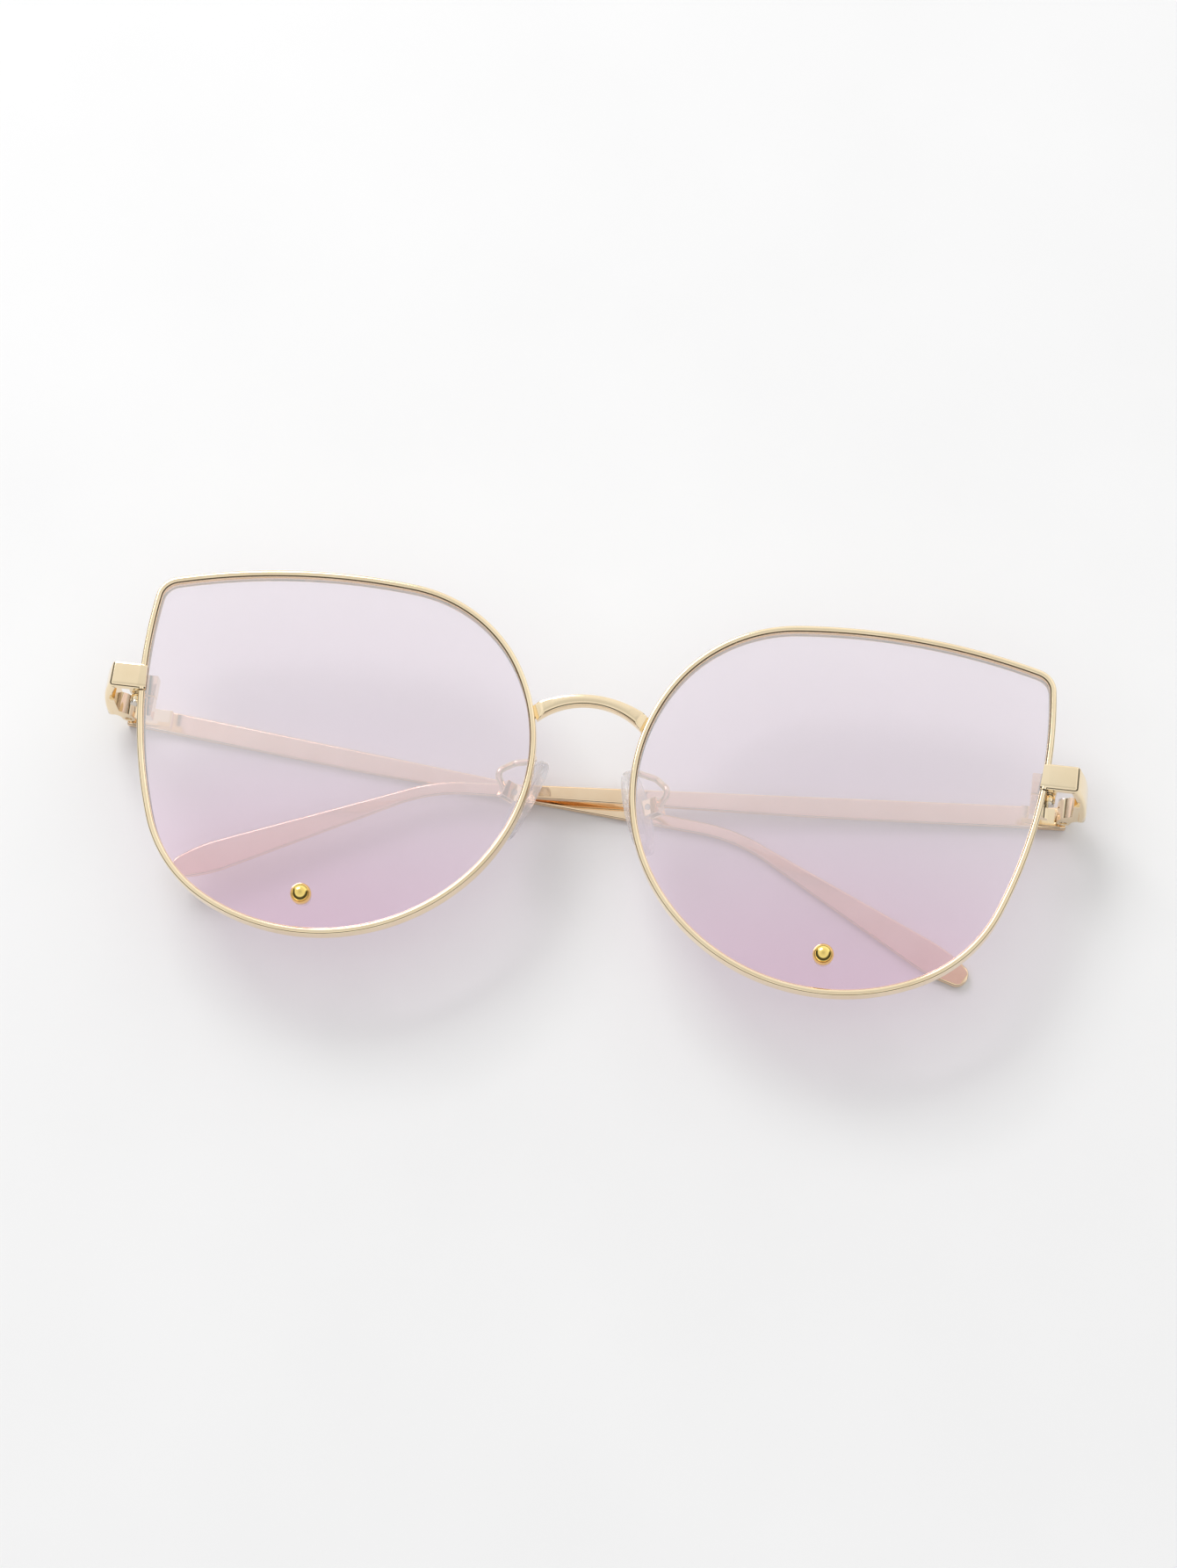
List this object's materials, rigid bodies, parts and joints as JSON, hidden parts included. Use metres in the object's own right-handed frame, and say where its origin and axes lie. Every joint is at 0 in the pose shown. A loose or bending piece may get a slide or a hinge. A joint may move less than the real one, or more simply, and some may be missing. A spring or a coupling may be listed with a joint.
{
  "type": "cat eye sunglasses",
  "caption": "Thin metal cat eye sunglasses with flat mirrored lenses, ball studs, an arched bridge, soft nose pads and folding temples, shown folded and face up.",
  "frame": {"origin": "Middle of the underside, at the height of the table that the folded glasses lie on, face up.", "axes": "+X across the face towards the right of the picture, +Y up the face towards the brow, +Z out of the front of the lenses."},
  "size_m": [0.1496, 0.0572, 0.0163],
  "materials": {
    "gold_metal": "polished pale gold plating",
    "stud_gold": "polished yellow gold plating",
    "screw_metal": "gold plated steel",
    "mirror_lens": "pale pink graded tint with a mirror coat",
    "clear_cap": "clear",
    "clear_silicone": "clear, soft"
  },
  "bodies": {
    "front": {"bridge": "gold_metal", "left_rim": "gold_metal", "left_lens": "mirror_lens", "left_ball_stud": "stud_gold", "left_stud_cap": "clear_cap", "left_endpiece": "gold_metal", "left_rim_lock_upper": "gold_metal", "left_rim_lock_lower": "gold_metal", "left_rim_lock_screw": "screw_metal", "left_front_hinge": "gold_metal", "left_hinge_screw": "screw_metal", "left_pad_arm": "gold_metal", "left_pad_box": "gold_metal", "left_pad_screw": "screw_metal", "right_rim": "gold_metal", "right_lens": "mirror_lens", "right_ball_stud": "stud_gold", "right_stud_cap": "clear_cap", "right_endpiece": "gold_metal", "right_rim_lock_upper": "gold_metal", "right_rim_lock_lower": "gold_metal", "right_rim_lock_screw": "screw_metal", "right_front_hinge": "gold_metal", "right_hinge_screw": "screw_metal", "right_pad_arm": "gold_metal", "right_pad_box": "gold_metal", "right_pad_screw": "screw_metal"},
    "left_temple": {"left_temple": "gold_metal", "left_temple_hinge": "gold_metal"},
    "right_temple": {"right_temple": "gold_metal", "right_temple_hinge": "gold_metal"},
    "left_pad": {"left_nose_pad": "clear_silicone"},
    "right_pad": {"right_nose_pad": "clear_silicone"}
  },
  "joints": [
    {"name": "left_temple_hinge", "type": "hinge", "parent": "front", "child": "left_temple", "pos_m": [-0.0716, 0.0073, 0.0032], "axis": [0, 1, 0], "range_deg": [0, 92]},
    {"name": "right_temple_hinge", "type": "hinge", "parent": "front", "child": "right_temple", "pos_m": [0.0716, 0.0073, 0.0032], "axis": [0, -1, 0], "range_deg": [0, 93.7]},
    {"name": "left_pad_rock", "type": "hinge", "parent": "front", "child": "left_pad", "pos_m": [-0.01048, -0.00148, 0.00936], "axis": [0.4169, -0.1355, 0.8988], "range_deg": [-8, 8]},
    {"name": "right_pad_rock", "type": "hinge", "parent": "front", "child": "right_pad", "pos_m": [0.01048, -0.00148, 0.00936], "axis": [-0.4169, -0.1355, 0.8988], "range_deg": [-8, 8]}
  ]
}
